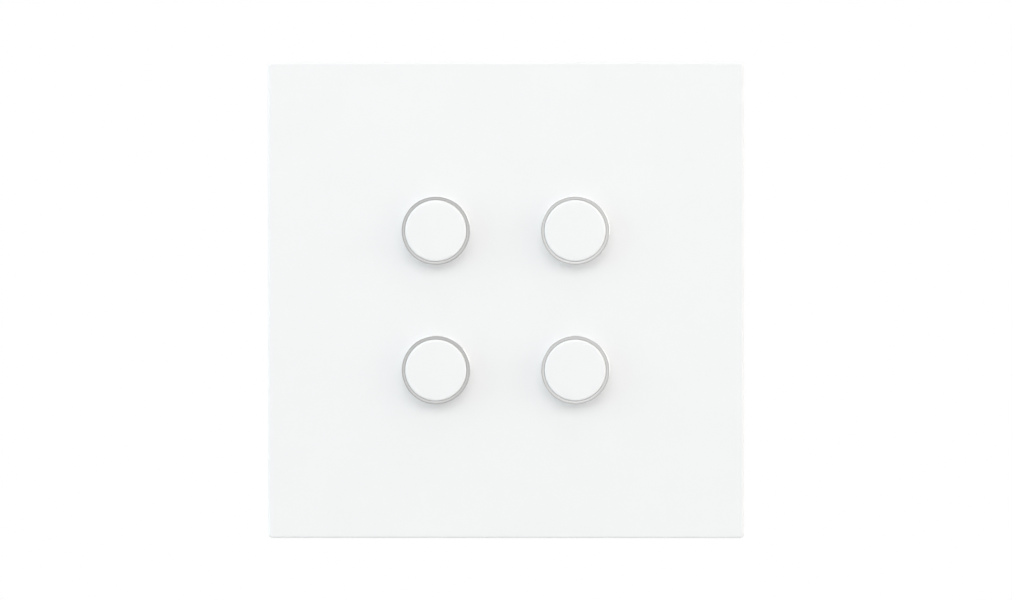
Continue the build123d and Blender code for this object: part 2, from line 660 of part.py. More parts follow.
# Terminal block
with BuildPart() as terminal_block:
    with BuildSketch(wall_plane(-power_board_back)):
        with Locations((0, (terminal_bottom + terminal_top) / 2)):
            Rectangle(terminal_width, TERMINAL_DEEP)
    extrude(amount=power_board_back - terminal_back)
    with BuildSketch(Plane.XY.offset(terminal_bottom)):
        with Locations((0, terminal_entry_middle)):
            with GridLocations(TERMINAL_PITCH, 0, TERMINAL_COUNT, 1):
                Rectangle(TERMINAL_ENTRY_WIDTH, TERMINAL_ENTRY_TALL)
    extrude(amount=TERMINAL_ENTRY_DEPTH, mode=Mode.SUBTRACT)
    with BuildSketch(wall_plane(-terminal_back)):
        with Locations((0, terminal_screw_rise)):
            with GridLocations(TERMINAL_PITCH, 0, TERMINAL_COUNT, 1):
                Rectangle(TERMINAL_WELL, TERMINAL_WELL)
    extrude(amount=terminal_back - terminal_entry_middle, mode=Mode.SUBTRACT)
save(terminal_block.part, "terminal_block")

# Clamps: a folded cage in each wire entry, pulled up by its screw
with BuildPart() as terminal_clamps:
    clamp_width = TERMINAL_ENTRY_WIDTH - 2 * CLAMP_CLEARANCE
    clamp_tall = TERMINAL_ENTRY_TALL - 2 * CLAMP_CLEARANCE
    with BuildSketch(Plane.XY.offset(terminal_screw_rise - CLAMP_LENGTH / 2)):
        with Locations((0, terminal_entry_middle)):
            with GridLocations(TERMINAL_PITCH, 0, TERMINAL_COUNT, 1):
                Rectangle(clamp_width, clamp_tall)
                Rectangle(
                    clamp_width - 2 * CLAMP_WALL,
                    clamp_tall - 2 * CLAMP_WALL,
                    mode=Mode.SUBTRACT,
                )
    extrude(amount=CLAMP_LENGTH)
save(terminal_clamps.part, "terminal_clamps")

# Terminal screws, slotted, each resting on its clamp
with BuildPart() as terminal_screws:
    with BuildSketch(wall_plane(-terminal_screw_back)):
        with Locations((0, terminal_screw_rise)):
            with GridLocations(TERMINAL_PITCH, 0, TERMINAL_COUNT, 1):
                Circle(terminal_screw_diameter / 2)
    extrude(amount=terminal_screw_back - clamp_back)
    with BuildSketch(wall_plane(-terminal_screw_back)):
        with Locations((0, terminal_screw_rise)):
            with GridLocations(TERMINAL_PITCH, 0, TERMINAL_COUNT, 1):
                Rectangle(terminal_screw_diameter, TERMINAL_SLOT_WIDTH)
    extrude(amount=TERMINAL_SLOT_DEPTH, mode=Mode.SUBTRACT)
save(terminal_screws.part, "terminal_screws")
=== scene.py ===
import math

import bpy
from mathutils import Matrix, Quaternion, Vector


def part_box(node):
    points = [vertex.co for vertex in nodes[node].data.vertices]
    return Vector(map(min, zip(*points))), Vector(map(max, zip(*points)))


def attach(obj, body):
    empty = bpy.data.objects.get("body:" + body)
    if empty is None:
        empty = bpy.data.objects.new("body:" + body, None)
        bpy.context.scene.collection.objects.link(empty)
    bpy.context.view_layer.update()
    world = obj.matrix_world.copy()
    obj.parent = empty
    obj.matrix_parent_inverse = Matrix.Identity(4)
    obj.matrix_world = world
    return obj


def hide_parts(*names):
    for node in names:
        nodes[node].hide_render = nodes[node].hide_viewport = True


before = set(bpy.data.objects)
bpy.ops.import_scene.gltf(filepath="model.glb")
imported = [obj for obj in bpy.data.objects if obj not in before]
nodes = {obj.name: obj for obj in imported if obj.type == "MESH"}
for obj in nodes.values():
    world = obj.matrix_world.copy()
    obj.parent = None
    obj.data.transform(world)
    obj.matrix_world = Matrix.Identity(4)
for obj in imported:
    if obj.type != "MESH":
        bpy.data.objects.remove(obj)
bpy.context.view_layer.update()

MM = 0.001
CORNERS = ("upper_left", "upper_right", "lower_left", "lower_right")
WHITE = (1.0, 1.0, 1.0)

# Button sizes that the solids' boxes don't give, in millimetres
CAP_RADIUS = 5.55
CAP_ROUND = 0.4
CAP_POCKET = 6.6
CAP_FRONT_WALL = 1.4
CAP_FLANGE = 0.8
STEM_SPAN = 3.4
STEM_WALL = 1.2
BEZEL_RADIUS = 6.15
BEZEL_BORE = 5.6
BEZEL_OUTER_ROUND = 0.035
BEZEL_INNER_ROUND = 0.03
BEZEL_DISH = 0.043
BEZEL_SEAT = 0.045
BEZEL_FLANGE = 0.8
# Where the painted shade on a rim's outer edge begins, and how soft its border is
RIM_SHADE_RADIUS = 5.97
RIM_SHADE_BLUR = 0.1
WALL_MARGIN = 0.01

# Extra rings of points that keep broad faces even, in millimetres
CAP_FRONT_RINGS = (1.2, 3.0, 4.4)
CAP_SIDE_RING = 2.0
BEZEL_SIDE_RING = 1.5

# Least angles, in degrees, at which an edge is crisp, in built pieces and in solids, or broken
CRISP_BUILT_EDGE = 40
CRISP_SOLID_EDGE = 32
BROKEN_EDGE = 35

# Faces of a solid that make one flat, in degrees, and points that are one, in millimetres
ONE_FLAT = 0.5
ONE_POINT = 0.0005

# Scales of the surface textures, per metre
LATHE_WANDER = 900.0
ROLLING_MARKS = 4500.0
BOARD_WEAVE = 9000.0
BOARD_TRACK_BREAKS = 160.0
BOARD_PADS = 390.0
BOARD_PAD_PATCHES = 210.0

# Other settings of the surface textures
MOTTLE_TO_GRAIN = 0.012
LATHE_WANDER_RADIANS = 5.0
PAD_RADIUS_IN_CELLS = 0.2
THREAD_TO_MASK = 1.25
TINNED_PAD = (0.72, 0.72, 0.7)

# Soft light of the room, never seen itself: level, rise upward, and colours of its two sides
ROOM_LEVEL = 0.3
ROOM_RISE = 0.12
ROOM_LEFT = (0.93, 0.98, 1.0)
ROOM_RIGHT = (1.0, 0.98, 0.95)

# Floor, with lengths in metres: it turns from matt to plain white between two reaches
FLOOR_LEVEL = -0.16
FLOOR_RADIUS = 1.2
FLOOR_SIDES = 96
FLOOR_TONE = (0.8, 0.8, 0.8)
FLOOR_FADE_FROM = 0.12
FLOOR_FADE_TO = 0.9
FLOOR_LEAST_WHITE = 0.1

# Soft boxes, all aimed at one point: place, width and height in metres, colour, watts
LAMP_AIM = (0.0, 0.0, 0.0)
LAMPS = {
    "top_light": ((0.0, -1.1, 0.72), 2.0, 0.9, WHITE, 9.0),
    "overhead_light": ((0.0, -0.12, 1.2), 1.4, 1.0, WHITE, 4.0),
    "cool_light": ((-1.18, -0.26, 0.3), 1.0, 1.0, (0.83, 0.94, 1.0), 6.4),
    "warm_light": ((1.18, -0.26, 0.3), 1.0, 1.0, (1.0, 0.955, 0.89), 6.4),
    "back_light": ((-0.35, 1.25, 0.25), 1.0, 0.6, WHITE, 2.4),
}

# Photograph: its width in pixels, and its scale at the plate's front
PICTURE_WIDTH = 1012
PIXELS_PER_MM = 5.537

# Camera: distance in metres, angles in degrees, aim and sensor in millimetres
CAMERA_DISTANCE = 1.5
CAMERA_RIGHT = 1.3
CAMERA_ABOVE = 1.05
CAMERA_ROLL = -0.045
CAMERA_AIM = (0.04, -10.0, 0.04)
CAMERA_SENSOR = 36.0


# Shader node groups


def start_group(name, inputs, outputs):
    """A new shader node group with named sockets: each input is (name, socket type, default)."""
    group = bpy.data.node_groups.new(name, "ShaderNodeTree")
    for label, kind, default in inputs:
        socket = group.interface.new_socket(label, in_out="INPUT", socket_type=kind)
        if default is not None:
            socket.default_value = default
    for label in outputs:
        group.interface.new_socket(label, in_out="OUTPUT", socket_type="NodeSocketFloat")
    return group, group.nodes.new("NodeGroupInput"), group.nodes.new("NodeGroupOutput")


def maths(tree, operation, first, second=None):
    """A maths node whose inputs are sockets or plain numbers."""
    node = tree.nodes.new("ShaderNodeMath")
    node.operation = operation
    for slot, value in enumerate((first, second)):
        if value is None:
            continue
        if isinstance(value, (int, float)):
            node.inputs[slot].default_value = value
        else:
            tree.links.new(value, node.inputs[slot])
    return node.outputs[0]


def noise(tree, vector, scale, detail=2.0, roughness=0.5):
    """A noise texture's value, at a scale that is a number or a socket."""
    node = tree.nodes.new("ShaderNodeTexNoise")
    node.inputs["Detail"].default_value = detail
    node.inputs["Roughness"].default_value = roughness
    if isinstance(scale, (int, float)):
        node.inputs["Scale"].default_value = scale
    else:
        tree.links.new(scale, node.inputs["Scale"])
    tree.links.new(vector, node.inputs["Vector"])
    return node.outputs[0]


def remap(tree, value, low, high, from_low=0.0, from_high=1.0):
    """A value moved from one range to another."""
    node = tree.nodes.new("ShaderNodeMapRange")
    node.inputs["From Min"].default_value = from_low
    node.inputs["From Max"].default_value = from_high
    node.inputs["To Min"].default_value = low
    node.inputs["To Max"].default_value = high
    tree.links.new(value, node.inputs["Value"])
    return node.outputs[0]


def make_moulded_grain():
    """Spark-eroded mould texture: a fine grain, and a slow mottle from uneven cooling."""
    group, given, result = start_group(
        "moulded_grain",
        (("Vector", "NodeSocketVector", None), ("Fineness", "NodeSocketFloat", 5000.0)),
        ("Grain", "Mottle"),
    )
    vector = given.outputs["Vector"]
    fineness = given.outputs["Fineness"]
    grain = noise(group, vector, fineness, detail=3.0, roughness=0.65)
    slow = noise(group, vector, maths(group, "MULTIPLY", fineness, MOTTLE_TO_GRAIN))
    mottle = remap(group, slow, 0.0, 1.0, from_low=0.3, from_high=0.7)
    group.links.new(grain, result.inputs["Grain"])
    group.links.new(mottle, result.inputs["Mottle"])
    return group


def make_turned_lines():
    """Lathe marks round the piece's own Y axis, their streaks, and a mask of its outer edge for
    painted shade.
    """
    group, given, result = start_group(
        "turned_lines",
        (
            ("Vector", "NodeSocketVector", None),
            ("Lines per Metre", "NodeSocketFloat", 15000.0),
            ("Rim Shade Radius", "NodeSocketFloat", 0.006),
        ),
        ("Lines", "Streak", "Rim Shade"),
    )
    vector = given.outputs["Vector"]
    parts = group.nodes.new("ShaderNodeSeparateXYZ")
    group.links.new(vector, parts.inputs[0])
    across = maths(group, "MULTIPLY", parts.outputs["X"], parts.outputs["X"])
    upward = maths(group, "MULTIPLY", parts.outputs["Z"], parts.outputs["Z"])
    radius = maths(group, "SQRT", maths(group, "ADD", across, upward))
    run = maths(group, "ADD", radius, parts.outputs["Y"])
    turns = maths(group, "MULTIPLY", run, given.outputs["Lines per Metre"])
    drift = noise(group, vector, LATHE_WANDER)
    wander = maths(group, "MULTIPLY", drift, LATHE_WANDER_RADIANS)
    phase = maths(group, "ADD", maths(group, "MULTIPLY", turns, 2 * math.pi), wander)
    lines = remap(group, maths(group, "SINE", phase), 0.0, 1.0, from_low=-1.0, from_high=1.0)
    group.links.new(lines, result.inputs["Lines"])
    bands = group.nodes.new("ShaderNodeTexNoise")
    bands.noise_dimensions = "1D"
    bands.inputs["Scale"].default_value = 4.0
    bands.inputs["Detail"].default_value = 2.0
    group.links.new(turns, bands.inputs["W"])
    streak = remap(group, bands.outputs[0], 0.0, 1.0, from_low=0.3, from_high=0.7)
    group.links.new(streak, result.inputs["Streak"])
    # Mask of the outer edge, where shade is painted into the colour
    beyond = maths(group, "SUBTRACT", radius, given.outputs["Rim Shade Radius"])
    blur = RIM_SHADE_BLUR * MM
    rim_shade = remap(group, beyond, 0.0, 1.0, from_low=-blur, from_high=blur)
    group.links.new(rim_shade, result.inputs["Rim Shade"])
    return group


def make_zinc_bloom():
    """Plated sheet: crystal flakes, with rolling marks along one direction."""
    group, given, result = start_group(
        "zinc_bloom",
        (("Vector", "NodeSocketVector", None), ("Flakes per Metre", "NodeSocketFloat", 500.0)),
        ("Flakes", "Rolling"),
    )
    vector = given.outputs["Vector"]
    flakes = group.nodes.new("ShaderNodeTexVoronoi")
    group.links.new(given.outputs["Flakes per Metre"], flakes.inputs["Scale"])
    group.links.new(vector, flakes.inputs["Vector"])
    shade = group.nodes.new("ShaderNodeSeparateColor")
    group.links.new(flakes.outputs["Color"], shade.inputs[0])
    stretched = group.nodes.new("ShaderNodeMapping")
    stretched.inputs["Scale"].default_value = (0.04, 1.0, 1.0)
    group.links.new(vector, stretched.inputs["Vector"])
    rolling = noise(group, stretched.outputs[0], ROLLING_MARKS, detail=3.0, roughness=0.6)
    group.links.new(shade.outputs["Red"], result.inputs["Flakes"])
    group.links.new(rolling, result.inputs["Rolling"])
    return group


def make_laminate():
    """Printed board: glass weave under the solder mask, raised copper tracks, and bare pads."""
    group, given, result = start_group(
        "laminate",
        (("Vector", "NodeSocketVector", None), ("Tracks per Metre", "NodeSocketFloat", 420.0)),
        ("Weave", "Tracks", "Pads"),
    )
    vector = given.outputs["Vector"]
    parts = group.nodes.new("ShaderNodeSeparateXYZ")
    group.links.new(vector, parts.inputs[0])
    flat = group.nodes.new("ShaderNodeCombineXYZ")
    group.links.new(parts.outputs["X"], flat.inputs["X"])
    group.links.new(parts.outputs["Z"], flat.inputs["Y"])
    across = maths(group, "SINE", maths(group, "MULTIPLY", parts.outputs["X"], BOARD_WEAVE))
    upward = maths(group, "SINE", maths(group, "MULTIPLY", parts.outputs["Z"], BOARD_WEAVE))
    threads = maths(group, "MULTIPLY", across, upward)
    weave = remap(group, threads, 0.0, 1.0, from_low=-1.0, from_high=1.0)
    cells = group.nodes.new("ShaderNodeTexBrick")
    cells.inputs["Color1"].default_value = (0.0, 0.0, 0.0, 1.0)
    cells.inputs["Color2"].default_value = (0.25, 0.25, 0.25, 1.0)
    cells.inputs["Mortar"].default_value = (1.0, 1.0, 1.0, 1.0)
    cells.inputs["Mortar Size"].default_value = 0.09
    cells.inputs["Mortar Smooth"].default_value = 0.1
    cells.inputs["Brick Width"].default_value = 1.6
    cells.inputs["Row Height"].default_value = 0.7
    group.links.new(flat.outputs[0], cells.inputs["Vector"])
    group.links.new(given.outputs["Tracks per Metre"], cells.inputs["Scale"])
    breaks = noise(group, vector, BOARD_TRACK_BREAKS, detail=1.0)
    broken = remap(group, breaks, 0.0, 1.0, from_low=0.42, from_high=0.5)
    tracks = maths(group, "MULTIPLY", cells.outputs["Color"], broken)
    dots = group.nodes.new("ShaderNodeTexVoronoi")
    dots.voronoi_dimensions = "2D"
    dots.inputs["Scale"].default_value = BOARD_PADS
    dots.inputs["Randomness"].default_value = 0.25
    group.links.new(flat.outputs[0], dots.inputs["Vector"])
    spots = maths(group, "LESS_THAN", dots.outputs["Distance"], PAD_RADIUS_IN_CELLS)
    patches = noise(group, vector, BOARD_PAD_PATCHES, detail=1.0)
    kept = remap(group, patches, 0.0, 1.0, from_low=0.5, from_high=0.54)
    group.links.new(weave, result.inputs["Weave"])
    group.links.new(tracks, result.inputs["Tracks"])
    group.links.new(maths(group, "MULTIPLY", spots, kept), result.inputs["Pads"])
    return group


MOULDED_GRAIN = make_moulded_grain()
TURNED_LINES = make_turned_lines()
ZINC_BLOOM = make_zinc_bloom()
LAMINATE = make_laminate()


# Materials


def start_material(name, group, setting, value):
    """A Principled material with one of the groups in it, fed by the piece's own coordinates."""
    material = bpy.data.materials.new(name)
    material.use_nodes = True
    tree = material.node_tree
    shader = tree.nodes["Principled BSDF"]
    place = tree.nodes.new("ShaderNodeTexCoord")
    effect = tree.nodes.new("ShaderNodeGroup")
    effect.node_tree = group
    effect.inputs[setting].default_value = value
    tree.links.new(place.outputs["Object"], effect.inputs["Vector"])
    return material, tree, shader, effect


def blend_colours(tree, amount, low, high):
    """A colour that goes from low, a colour or a socket, to high, a colour, with the amount."""
    node = tree.nodes.new("ShaderNodeMix")
    node.data_type = "RGBA"
    if isinstance(low, tuple):
        node.inputs["A"].default_value = (*low, 1.0)
    else:
        tree.links.new(low, node.inputs["A"])
    node.inputs["B"].default_value = (*high, 1.0)
    tree.links.new(amount, node.inputs["Factor"])
    return node.outputs["Result"]


def raise_surface(tree, shader, height, strength, depth):
    """A bump of that depth, in millimetres, into the shader's normal."""
    bump = tree.nodes.new("ShaderNodeBump")
    bump.inputs["Strength"].default_value = strength
    bump.inputs["Distance"].default_value = depth * MM
    tree.links.new(height, bump.inputs["Height"])
    tree.links.new(bump.outputs["Normal"], shader.inputs["Normal"])


def moulded_plastic(name, low, high, rough, fineness=5000.0, relief=0.25):
    """Moulded plastic: its tone drifts between two colours, and its grain breaks up the gloss."""
    material, tree, shader, effect = start_material(name, MOULDED_GRAIN, "Fineness", fineness)
    tone = blend_colours(tree, effect.outputs["Mottle"], low, high)
    tree.links.new(tone, shader.inputs["Base Color"])
    grain = effect.outputs["Grain"]
    gloss = remap(tree, grain, rough - 0.07, rough + 0.07, from_low=0.3, from_high=0.7)
    tree.links.new(gloss, shader.inputs["Roughness"])
    raise_surface(tree, shader, grain, strength=relief, depth=0.03)
    return material


def turned_metal(name, low, high, rim_shade, rough, lines_per_metre):
    """Lathe-turned metal with a satin finish, whose outer edge is darkened in its colour: painted
    shade.
    """
    material, tree, shader, effect = start_material(
        name, TURNED_LINES, "Lines per Metre", lines_per_metre
    )
    effect.inputs["Rim Shade Radius"].default_value = RIM_SHADE_RADIUS * MM
    shader.inputs["Metallic"].default_value = 1.0
    streaked = blend_colours(tree, effect.outputs["Streak"], low, high)
    # Painted shade: the outer edge is made darker in the colour
    rim_shaded = blend_colours(tree, effect.outputs["Rim Shade"], streaked, rim_shade)
    tree.links.new(rim_shaded, shader.inputs["Base Color"])
    gloss = remap(tree, effect.outputs["Streak"], rough - 0.05, rough + 0.05)
    tree.links.new(gloss, shader.inputs["Roughness"])
    raise_surface(tree, shader, effect.outputs["Lines"], strength=0.12, depth=0.004)
    return material


def plated_sheet(name, low, high, rough, flakes_per_metre):
    """Pressed sheet metal with a plated finish."""
    material, tree, shader, effect = start_material(
        name, ZINC_BLOOM, "Flakes per Metre", flakes_per_metre
    )
    shader.inputs["Metallic"].default_value = 1.0
    tone = blend_colours(tree, effect.outputs["Flakes"], low, high)
    tree.links.new(tone, shader.inputs["Base Color"])
    gloss = remap(tree, effect.outputs["Flakes"], rough - 0.03, rough + 0.04)
    tree.links.new(gloss, shader.inputs["Roughness"])
    raise_surface(tree, shader, effect.outputs["Rolling"], strength=0.2, depth=0.01)
    return material


def printed_board(name, mask, track, tracks_per_metre):
    """Printed board: solder mask over weave and tracks, with tinned pads."""
    material, tree, shader, effect = start_material(
        name, LAMINATE, "Tracks per Metre", tracks_per_metre
    )
    woven = tuple(THREAD_TO_MASK * part for part in mask)
    ground = blend_colours(tree, effect.outputs["Weave"], mask, woven)
    tracked = blend_colours(tree, effect.outputs["Tracks"], ground, track)
    tinned = blend_colours(tree, effect.outputs["Pads"], tracked, TINNED_PAD)
    tree.links.new(tinned, shader.inputs["Base Color"])
    tree.links.new(effect.outputs["Pads"], shader.inputs["Metallic"])
    gloss = remap(tree, effect.outputs["Tracks"], 0.42, 0.3)
    tree.links.new(gloss, shader.inputs["Roughness"])
    raise_surface(tree, shader, effect.outputs["Tracks"], strength=0.5, depth=0.03)
    return material


PLATE_WHITE = moulded_plastic(
    "plate_white", (0.866, 0.868, 0.871), (0.874, 0.876, 0.879), 0.5, fineness=6500.0, relief=0.22
)
CAP_WHITE = moulded_plastic(
    "cap_white", (0.866, 0.868, 0.871), (0.874, 0.876, 0.879), 0.44, fineness=7500.0, relief=0.16
)
# Two copies of one rim metal: the darker one for the left pair is painted shade, the lighter one
# for the right pair is painted light
RIM_SATIN_SHADED_LEFT = turned_metal(
    "rim_satin_shaded_left",
    # The third colour is painted shade on the rim's outer edge
    (0.515, 0.515, 0.51), (0.555, 0.555, 0.55), (0.375, 0.375, 0.372),
    0.3, lines_per_metre=14000.0,
)
RIM_SATIN_LIT_RIGHT = turned_metal(
    "rim_satin_lit_right",
    # The third colour is painted shade on the rim's outer edge
    (0.6, 0.6, 0.594), (0.64, 0.64, 0.634), (0.455, 0.455, 0.451),
    0.3, lines_per_metre=14000.0,
)
WALL_POLISH = turned_metal(
    "wall_polish",
    (0.79, 0.795, 0.795), (0.85, 0.855, 0.855), (0.79, 0.795, 0.795),
    0.2, lines_per_metre=9000.0,
)
CARRIER_PLASTIC = moulded_plastic("carrier_plastic", (0.68, 0.68, 0.66), (0.72, 0.72, 0.7), 0.5)
SWITCH_PLASTIC = moulded_plastic(
    "switch_plastic", (0.043, 0.043, 0.044), (0.056, 0.056, 0.057), 0.42
)
PLUNGER_PLASTIC = moulded_plastic("plunger_plastic", (0.58, 0.56, 0.5), (0.62, 0.6, 0.54), 0.4)
CONNECTOR_PLASTIC = moulded_plastic(
    "connector_plastic", (0.034, 0.034, 0.034), (0.046, 0.046, 0.046), 0.45
)
HOUSING_PLASTIC = moulded_plastic(
    "housing_plastic",
    (0.085, 0.087, 0.092), (0.105, 0.107, 0.112),
    0.52, fineness=4000.0, relief=0.4,
)
RELAY_PLASTIC = moulded_plastic(
    "relay_plastic", (0.022, 0.023, 0.026), (0.034, 0.035, 0.039), 0.38
)
SUPPLY_PLASTIC = moulded_plastic(
    "supply_plastic", (0.043, 0.043, 0.044), (0.057, 0.057, 0.058), 0.48
)
CAPACITOR_PLASTIC = moulded_plastic(
    "capacitor_plastic", (0.69, 0.52, 0.085), (0.75, 0.58, 0.115), 0.36
)
FUSE_PLASTIC = moulded_plastic("fuse_plastic", (0.23, 0.12, 0.07), (0.27, 0.14, 0.09), 0.4)
TERMINAL_PLASTIC = moulded_plastic("terminal_plastic", (0.26, 0.27, 0.28), (0.3, 0.31, 0.32), 0.46)
LED_RESIN = moulded_plastic("led_resin", (0.88, 0.85, 0.67), (0.92, 0.89, 0.73), 0.25)
YOKE_STEEL = plated_sheet("yoke_steel", (0.6, 0.61, 0.62), (0.65, 0.66, 0.67), 0.4, 900.0)
SHIELD_STEEL = plated_sheet("shield_steel", (0.68, 0.68, 0.66), (0.76, 0.76, 0.74), 0.28, 900.0)
SCREW_STEEL = plated_sheet("screw_steel", (0.6, 0.6, 0.58), (0.7, 0.7, 0.67), 0.3, 1500.0)
CLAMP_METAL = plated_sheet("clamp_metal", (0.72, 0.55, 0.24), (0.8, 0.63, 0.3), 0.3, 1500.0)
BOARD_LAMINATE = printed_board("board_laminate", (0.038, 0.175, 0.095), (0.06, 0.28, 0.15), 420.0)


# Pieces in mesh code


def round_form(radius):
    """A ring's outline: a circle."""
    return lambda angle: radius


def square_form(side):
    """A ring's outline: a square with that side."""
    return lambda angle: side / 2 / max(abs(math.cos(angle)), abs(math.sin(angle)))


def cross_form(span, wall):
    """A ring's outline: an upright cross with that span and wall."""

    def reach(angle):
        lean = angle % (math.pi / 2)
        lean = min(lean, math.pi / 2 - lean)
        if math.tan(lean) <= wall / span + 1e-9:
            return span / 2 / math.cos(lean)
        return wall / 2 / math.sin(lean)

    return reach


def rounding(radius_at, height_at, size, start, stop, steps):
    """Rings along an arc of the outline: angles in degrees from outward, 90 towards the room."""
    rings = []
    for step in range(steps + 1):
        turn = math.radians(start + (stop - start) * step / steps)
        reach = radius_at + size * math.cos(turn)
        rings.append((round_form(reach), height_at + size * math.sin(turn)))
    return rings


def ring_angles(steps=144, extra=()):
    """Evenly spaced angles, with extra ones for a form's corners, the same in each quarter."""
    angles = {round(2 * math.pi * step / steps, 9) for step in range(steps)}
    for angle in extra:
        for quarter in range(4):
            angles.add(round(angle + quarter * math.pi / 2, 9))
            angles.add(round((quarter + 1) * math.pi / 2 - angle, 9))
    return sorted(angles)


def stack_of_rings(name, centre, rings, angles, joined):
    """A closed piece through rings of points: each ring is (outline, height in front of the wall).

    The last ring joins the first, or else both end rings are closed by a face.
    """
    points = []
    for outline, height in rings:
        for angle in angles:
            reach = outline(angle)
            across = reach * math.cos(angle) * MM
            upward = reach * math.sin(angle) * MM
            points.append((across, -height * MM, upward))
    count = len(angles)
    faces = []
    for ring in range(len(rings) if joined else len(rings) - 1):
        here, there = ring * count, (ring + 1) % len(rings) * count
        for step in range(count):
            after = (step + 1) % count
            faces.append((here + step, here + after, there + after, there + step))
    if not joined:
        last = (len(rings) - 1) * count
        faces.append(tuple(reversed(range(count))))
        faces.append(tuple(range(last, last + count)))
    mesh = bpy.data.meshes.new(name)
    mesh.from_pydata(points, [], faces)
    mesh.validate()
    mesh.shade_smooth()
    mesh.set_sharp_from_angle(angle=math.radians(CRISP_BUILT_EDGE))
    piece = bpy.data.objects.new(name, mesh)
    piece.location = (centre.x, 0.0, centre.z)
    bpy.context.scene.collection.objects.link(piece)
    return piece


def weigh_normals(piece):
    """Keeps broad faces flat where they run into small rounded ones."""
    modifier = piece.modifiers.new("broad_faces_flat", "WEIGHTED_NORMAL")
    modifier.keep_sharp = True
    modifier.weight = 100


def dress(piece, materials, body, node):
    """Finishes a piece that stands for a solid: its materials and body, with the solid itself
    hidden.
    """
    for material in materials:
        piece.data.materials.append(material)
    weigh_normals(piece)
    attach(piece, body)
    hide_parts(node)


def make_cap(corner):
    """White cap: a flat front with a soft edge, a square stop flange, and a stem in its pocket."""
    node = f"button_cap_{corner}"
    low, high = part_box(node)
    front, back = -low.y / MM, -high.y / MM
    flange_side = (high.x - low.x) / MM
    shoulder = back + CAP_FLANGE
    ceiling = front - CAP_FRONT_WALL
    rings = [(round_form(reach), front) for reach in CAP_FRONT_RINGS]
    rings += rounding(CAP_RADIUS - CAP_ROUND, front - CAP_ROUND, CAP_ROUND, 90, 0, steps=8)
    rings += [
        (round_form(CAP_RADIUS), shoulder + CAP_SIDE_RING),
        (round_form(CAP_RADIUS), shoulder),
        (square_form(flange_side), shoulder),
        (square_form(flange_side), back),
        (square_form(CAP_POCKET), back),
        (square_form(CAP_POCKET), ceiling),
        (cross_form(STEM_SPAN, STEM_WALL), ceiling),
        (cross_form(STEM_SPAN, STEM_WALL), back),
    ]
    angles = ring_angles(extra=(math.atan(STEM_WALL / STEM_SPAN),))
    cap = stack_of_rings(f"cap_{corner}", (low + high) / 2, rings, angles, joined=False)
    dress(cap, [CAP_WHITE], f"button_{corner}", node)


def make_bezel(corner):
    """Metal bezel: a turned ring with a satin rim, a polished wall, and a flange behind the plate.

    In the photograph the left pair of rims is a shade darker than the right pair, from how the two
    pairs are lit. Here the left pair gets a darker copy of the rim metal, which is painted shade,
    and the right pair a lighter copy, which is painted light.
    """
    node = f"bezel_{corner}"
    low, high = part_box(node)
    front, back = -low.y / MM, -high.y / MM
    flange_side = (high.x - low.x) / MM
    shoulder = back + BEZEL_FLANGE
    plate_front = -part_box("face_plate")[0].y / MM
    inner_centre = front - BEZEL_DISH - BEZEL_INNER_ROUND
    outer_centre = front - BEZEL_OUTER_ROUND
    rings = [
        (round_form(BEZEL_BORE), back),
        (round_form(BEZEL_BORE), front - BEZEL_SIDE_RING),
        *rounding(
            BEZEL_BORE + BEZEL_INNER_ROUND, inner_centre, BEZEL_INNER_ROUND, 180, 90, steps=6
        ),
        *rounding(
            BEZEL_RADIUS - BEZEL_OUTER_ROUND, outer_centre, BEZEL_OUTER_ROUND, 90, 0, steps=7
        ),
        (round_form(BEZEL_RADIUS), front - BEZEL_SIDE_RING),
        (round_form(BEZEL_RADIUS), plate_front + BEZEL_SEAT),
        (round_form(BEZEL_RADIUS + BEZEL_SEAT), plate_front),
        (round_form(BEZEL_RADIUS + BEZEL_SEAT), shoulder),
        (square_form(flange_side), shoulder),
        (square_form(flange_side), back),
    ]
    bezel = stack_of_rings(f"ring_{corner}", (low + high) / 2, rings, ring_angles(), joined=True)
    for face in bezel.data.polygons:
        reach = math.hypot(face.center.x, face.center.z) / MM
        if reach > BEZEL_RADIUS - WALL_MARGIN:
            face.material_index = 1
    # Painted shade on the left pair of rims, painted light on the right pair
    rim = RIM_SATIN_SHADED_LEFT if corner.endswith("left") else RIM_SATIN_LIT_RIGHT
    dress(bezel, [rim, WALL_POLISH], "panel", node)


for corner in CORNERS:
    make_cap(corner)
    make_bezel(corner)


# Finishes of the solids that stay as they are

FINISHES = {
    "face_plate": PLATE_WHITE,
    "button_carrier": CARRIER_PLASTIC,
    "control_board": BOARD_LAMINATE,
    "status_leds": LED_RESIN,
    "radio_board": BOARD_LAMINATE,
    "radio_shield": SHIELD_STEEL,
    "board_header": CONNECTOR_PLASTIC,
    "board_socket": CONNECTOR_PLASTIC,
    "mounting_yoke": YOKE_STEEL,
    "rear_housing": HOUSING_PLASTIC,
    "housing_lid": HOUSING_PLASTIC,
    "power_board": BOARD_LAMINATE,
    "supply_module": SUPPLY_PLASTIC,
    "noise_capacitor": CAPACITOR_PLASTIC,
    "fuse": FUSE_PLASTIC,
    "terminal_block": TERMINAL_PLASTIC,
    "terminal_clamps": CLAMP_METAL,
    "terminal_screws": SCREW_STEEL,
}
for corner in CORNERS:
    FINISHES[f"tact_switch_{corner}"] = SWITCH_PLASTIC
    FINISHES[f"switch_plunger_{corner}"] = PLUNGER_PLASTIC
for number in range(1, 5):
    FINISHES[f"relay_{number}"] = RELAY_PLASTIC

# Edges that are broken in the making, in millimetres
BROKEN_EDGES = {
    "rear_housing": 0.3,
    "mounting_yoke": 0.12,
    "terminal_block": 0.15,
    "terminal_screws": 0.12,
}


